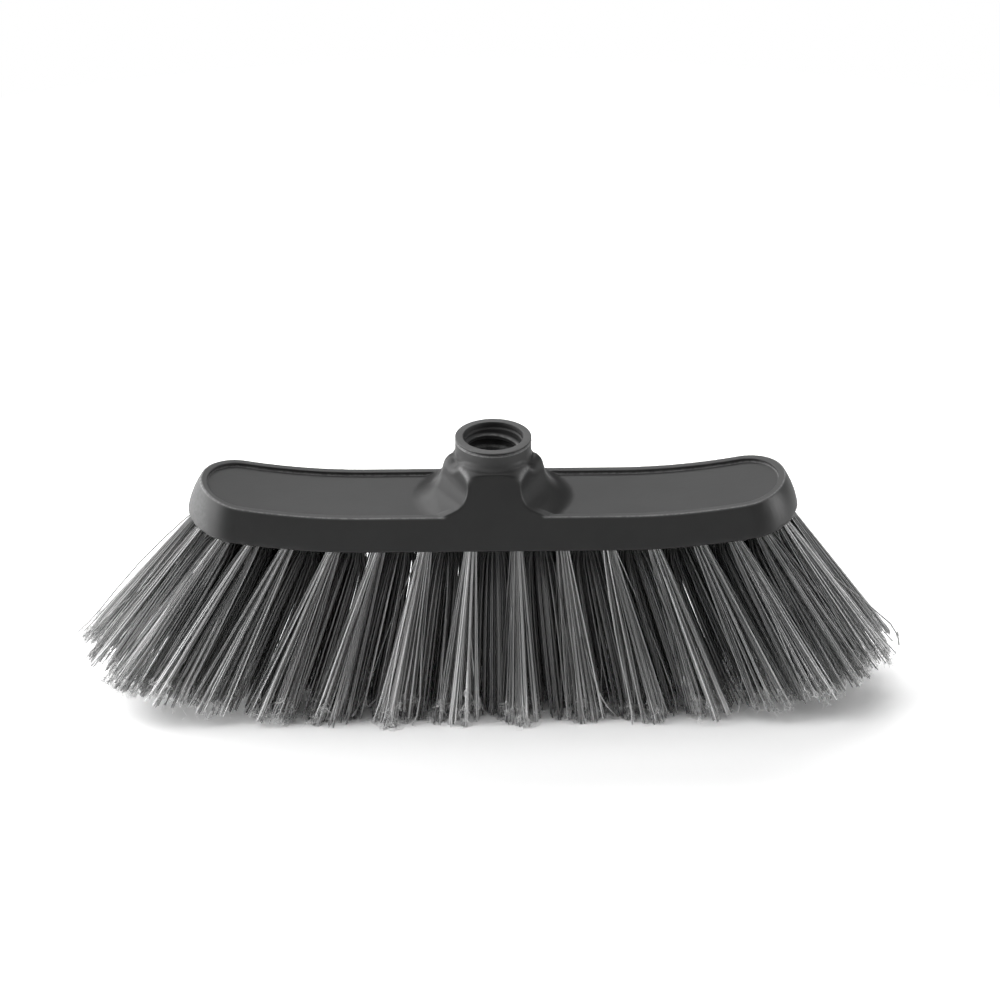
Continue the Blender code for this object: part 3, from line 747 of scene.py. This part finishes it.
def make_tuft(name, x, y, number):
    rng = np.random.default_rng(FIRST_SEED + number)
    row = name.split("_")[1]
    inner = row in INNER_ROWS
    dim = INNER_SHADE if inner else 1
    paths, one, other = folded_filaments(rng, row, x, y, number)
    count, points, _ = paths.shape
    thick = rng.normal(FILAMENT_RADIUS, RADIUS_VARIES, (count, 1)) * np.ones(points)
    verts, groups, spots = tubes(paths, thick, FILAMENT_SIDES, (0, 1, 0, 0.8))
    paler = ease(np.linspace(-1, 1, points) ** 2, 0.15, 1) * TIP_PALER
    tone = (0.0 if inner else FRONT_PALER) + rng.random((count, 1)) * TONE_RANGE + paler
    tone[np.maximum(one[2], other[2]) > STRAY] = STRAY_SHADE
    shade = [np.repeat(tone.ravel() * dim, FILAMENT_SIDES)]

    fine = split_ends(rng, one, other, INNER_FIBRES if inner else OUTER_FIBRES)
    thin = np.full(fine.shape[:2], FIBRE_RADIUS) * np.linspace(1.15, 0.7, FIBRE_STOPS)
    more = tubes(fine, thin, FIBRE_SIDES, (0, 1, 0.82, 1))
    shade.append(np.repeat(rng.uniform(*FIBRE_SHADE, len(fine)) * dim, FIBRE_STOPS * FIBRE_SIDES))
    groups += [g + len(verts) for g in more[1]]
    verts = np.concatenate([verts, more[0]])
    spots += more[2]

    mesh = mesh_of(name, verts, *groups)
    spots = np.concatenate(spots).astype(np.float32)
    mesh.uv_layers.new(name="OFBake").data.foreach_set("uv", spots.ravel())
    shade = np.concatenate(shade).astype(np.float32)
    mesh.attributes.new("filament_shade", "FLOAT", "POINT").data.foreach_set("value", shade)
    made = bpy.data.objects.new(f"filaments_{name[5:]}", mesh)
    bpy.context.scene.collection.objects.link(made)
    return made


# ---------------------------------------------------------------- materials

# the second tone is for wear and painted light alike, the third is a painted highlight on sharp edges
PLAIN_TONE, WORN_AND_LIT_TONE, PAINTED_GLINT_TONE = (0.015, 0.020), (0.060, 0.080), 0.2
PLAIN_ROUGH, WORN_ROUGH = (0.42, 0.5), 0.65
FILAMENT_TONES = ((0.0, 0.06), (0.35, 0.165), (0.7, 0.36), (0.85, 0.56), (1.0, 0.9))
FLOOR_MATT, FLOOR_SEEN, FLOOR_MIRRORED = 0.8, 1.3, 1.05  # for plain light, the camera, reflections
FLOOR_FADES = (0.4, 0.7)  # metres from the origin between which the floor fades to white
WORLD_LIT, WORLD_MIRRORED = 0.02, 0.12  # for plain light and reflections. The camera sees 1


def shader(name):
    made = bpy.data.materials.new(name)
    made.use_nodes = True
    tree = made.node_tree
    return made, tree, tree.nodes["Principled BSDF"]


def node(tree, kind, inputs=None, **settings):
    made = tree.nodes.new(kind)
    for key, value in settings.items():
        setattr(made, key, value)
    for key, value in (inputs or {}).items():
        if isinstance(value, bpy.types.NodeSocket):
            tree.links.new(value, made.inputs[key])
        else:
            made.inputs[key].default_value = value
    return made


def ramp(tree, source, *stops):
    made = node(tree, "ShaderNodeValToRGB", {"Fac": source})
    elements = made.color_ramp.elements
    while len(elements) < len(stops):
        elements.new(0.5)
    for element, (at, level) in zip(elements, stops):
        element.position = at
        element.color = (level, level, level, 1)
    return made.outputs["Color"]


def noise(tree, place, scale, detail):
    inputs = {"Vector": place, "Scale": scale, "Detail": detail}
    return node(tree, "ShaderNodeTexNoise", inputs).outputs["Fac"]


def mapped(tree, **inputs):
    inputs = {key.replace("_", " "): value for key, value in inputs.items()}
    return node(tree, "ShaderNodeMapRange", inputs).outputs[0]


def maths(tree, operation, one, two, **settings):
    return node(tree, "ShaderNodeMath", {0: one, 1: two}, operation=operation, **settings).outputs[0]


def plastic_material():
    """Dark plastic with a fine grain, paler and rougher where it is worn, paler too as painted light, and
    flecked with painted highlights on its edges.
    """
    made, tree, bsdf = shader("moulded_plastic")
    place = node(tree, "ShaderNodeTexCoord").outputs["Object"]
    grain = noise(tree, place, 2600.0, 3.0)
    cloud = noise(tree, place, 60.0, 4.0)
    glint_flecks = noise(tree, place, 700.0, 3.0)
    glint_flecks = mapped(tree, Value=glint_flecks, From_Min=0.38, From_Max=0.62, To_Min=0.45)
    wear_and_light = node(tree, "ShaderNodeAttribute", attribute_name="wear_and_painted_light").outputs["Fac"]
    # how far toward the pale tone, which stands for wear and painted light alike; above 1 the tint turns
    # into flecks of painted highlight
    wear_and_light_share = maths(tree, "MINIMUM", wear_and_light, 1.0)
    edge = maths(tree, "SUBTRACT", wear_and_light, 1.0, use_clamp=True)
    edge = maths(tree, "MULTIPLY", edge, glint_flecks)
    plain = ramp(tree, cloud, (0.3, PLAIN_TONE[0]), (0.7, PLAIN_TONE[1]))
    # the pale tone, for wear and painted light alike
    worn = ramp(tree, cloud, (0.3, WORN_AND_LIT_TONE[0]), (0.7, WORN_AND_LIT_TONE[1]))
    colour = mapped(tree, Value=wear_and_light_share, To_Min=plain, To_Max=worn)
    colour = mapped(tree, Value=edge, To_Min=colour, To_Max=PAINTED_GLINT_TONE)
    bsdf.inputs["Specular IOR Level"].default_value = 0.34
    tree.links.new(colour, bsdf.inputs["Base Color"])
    rough = ramp(tree, cloud, (0.3, PLAIN_ROUGH[0]), (0.7, PLAIN_ROUGH[1]))
    rough = mapped(tree, Value=wear_and_light_share, To_Min=rough, To_Max=WORN_ROUGH)
    tree.links.new(rough, bsdf.inputs["Roughness"])
    ripple = noise(tree, place, 420.0, 2.0)
    bump = {"Height": ripple, "Strength": 0.3, "Distance": 0.0001}
    bump = node(tree, "ShaderNodeBump", bump).outputs["Normal"]
    bump = {"Height": grain, "Strength": 0.25, "Distance": 0.0001, "Normal": bump}
    bump = node(tree, "ShaderNodeBump", bump).outputs["Normal"]
    tree.links.new(bump, bsdf.inputs["Normal"])
    return made


def filament_material():
    made, tree, bsdf = shader("drawn_filament")
    shade = node(tree, "ShaderNodeAttribute", attribute_name="filament_shade").outputs["Fac"]
    tree.links.new(ramp(tree, shade, *FILAMENT_TONES), bsdf.inputs["Base Color"])
    bsdf.inputs["Roughness"].default_value = 0.35
    return made


# ---------------------------------------------------------------- the object

plastic, filament = plastic_material(), filament_material()
block = make_block()
block.data.materials.append(plastic)
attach(block, "root")
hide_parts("block")

for number, (name, x, y) in enumerate(tuft_places()):
    tuft = make_tuft(name, x, y, number)
    tuft.data.materials.append(filament)
    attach(tuft, "root")
    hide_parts(name)

# ---------------------------------------------------------------- floor, light and camera

LAMPS = (  # name, place, size and power, in metres and watts
    ("left_high", (-0.95, 0.0, 0.95), (0.8, 0.8), 6.8),
    ("left_behind", (-0.9, 0.75, 0.7), (0.8, 0.6), 8.5),
    ("left_low", (-1.3, -0.2, 0.14), (0.6, 0.22), 14.5),
    ("right_high", (0.95, 0.0, 0.95), (0.8, 0.8), 2.2),
    ("right_low", (1.25, -0.25, 0.2), (0.6, 0.35), 8.0),
    ("left_edge", (-0.42, 0.25, 0.09), (0.24, 0.09), 0.45),
    ("top", (-0.1, 0.0, 1.6), (1.2, 1.0), 7.0),
    ("top_behind", (-0.1, 1.1, 1.25), (1.2, 0.8), 13.2),
)
CAMERA_LENS, CAMERA_AWAY, CAMERA_TARGET = 126.0, 1.4, (0.0027, 0, 0.086)
CAMERA_AZIMUTH, CAMERA_ELEVATION = 1.1, 28.6  # degrees left of the front, and above the floor


def mirrored_rays(tree, path):
    """1 for a ray that the object has reflected or let through, and 0 for others."""
    return maths(tree, "MAXIMUM", path["Is Glossy Ray"], path["Is Transmission Ray"])


def floor_material():
    """Matt, and pale enough to look white. Far from the object it fades to plain white where seen."""
    made, tree, bsdf = shader("white_floor")
    tree.nodes.remove(bsdf)
    path = node(tree, "ShaderNodeLightPath").outputs
    tone = mapped(tree, Value=mirrored_rays(tree, path), To_Min=FLOOR_MATT, To_Max=FLOOR_MIRRORED)
    tone = mapped(tree, Value=path["Is Camera Ray"], To_Min=tone, To_Max=FLOOR_SEEN)
    matt = node(tree, "ShaderNodeBsdfDiffuse", {"Color": tone}).outputs[0]
    place = node(tree, "ShaderNodeTexCoord").outputs["Object"]
    away = node(tree, "ShaderNodeVectorMath", {0: place}, operation="LENGTH").outputs["Value"]
    near, far = FLOOR_FADES
    faded = mapped(tree, Value=away, From_Min=near, From_Max=far, To_Max=path["Is Camera Ray"])
    white = node(tree, "ShaderNodeEmission", {"Strength": 1.0}).outputs[0]
    surface = node(tree, "ShaderNodeMixShader", {0: faded, 1: matt, 2: white}).outputs[0]
    tree.links.new(surface, tree.nodes["Material Output"].inputs["Surface"])
    return made


def make_floor():
    bm = bmesh.new()
    bmesh.ops.create_grid(bm, x_segments=8, y_segments=8, size=3.0)
    mesh = bpy.data.meshes.new("studio_floor")
    bm.to_mesh(mesh)
    bm.free()
    floor = bpy.data.objects.new("studio_floor", mesh)
    bpy.context.scene.collection.objects.link(floor)
    floor.data.materials.append(floor_material())


def make_world():
    """White where the camera sees it, and dim for the light that falls on the object."""
    world = bpy.data.worlds.new("studio")
    bpy.context.scene.world = world
    world.use_nodes = True
    tree = world.node_tree
    path = node(tree, "ShaderNodeLightPath").outputs
    lit = mapped(tree, Value=mirrored_rays(tree, path), To_Min=WORLD_LIT, To_Max=WORLD_MIRRORED)
    strength = maths(tree, "MAXIMUM", lit, path["Is Camera Ray"])
    back = tree.nodes["Background"]
    back.inputs["Color"].default_value = (1, 1, 1, 1)
    tree.links.new(strength, back.inputs["Strength"])


def lamp(name, place, target, size, power):
    data = bpy.data.lights.new(name, "AREA")
    data.shape = "RECTANGLE"
    data.size, data.size_y = size
    data.energy = power
    made = bpy.data.objects.new(name, data)
    bpy.context.scene.collection.objects.link(made)
    made.location = place
    made.rotation_euler = (Vector(target) - made.location).to_track_quat("-Z", "Y").to_euler()


def make_camera():
    data = bpy.data.cameras.new("photo_camera")
    data.sensor_width, data.lens = 36.0, CAMERA_LENS
    camera = bpy.data.objects.new("photo_camera", data)
    bpy.context.scene.collection.objects.link(camera)
    azimuth, elevation = math.radians(CAMERA_AZIMUTH), math.radians(CAMERA_ELEVATION)
    flat = math.cos(elevation)
    back = Vector((-math.sin(azimuth) * flat, -math.cos(azimuth) * flat, math.sin(elevation)))
    camera.location = Vector(CAMERA_TARGET) + back * CAMERA_AWAY
    camera.rotation_euler = (-back).to_track_quat("-Z", "Y").to_euler()
    bpy.context.scene.camera = camera


make_floor()
make_world()
for name, place, size, power in LAMPS:
    lamp(name, place, (0, 0, 0.07), size, power)
make_camera()
bpy.context.scene.view_settings.view_transform = "Standard"
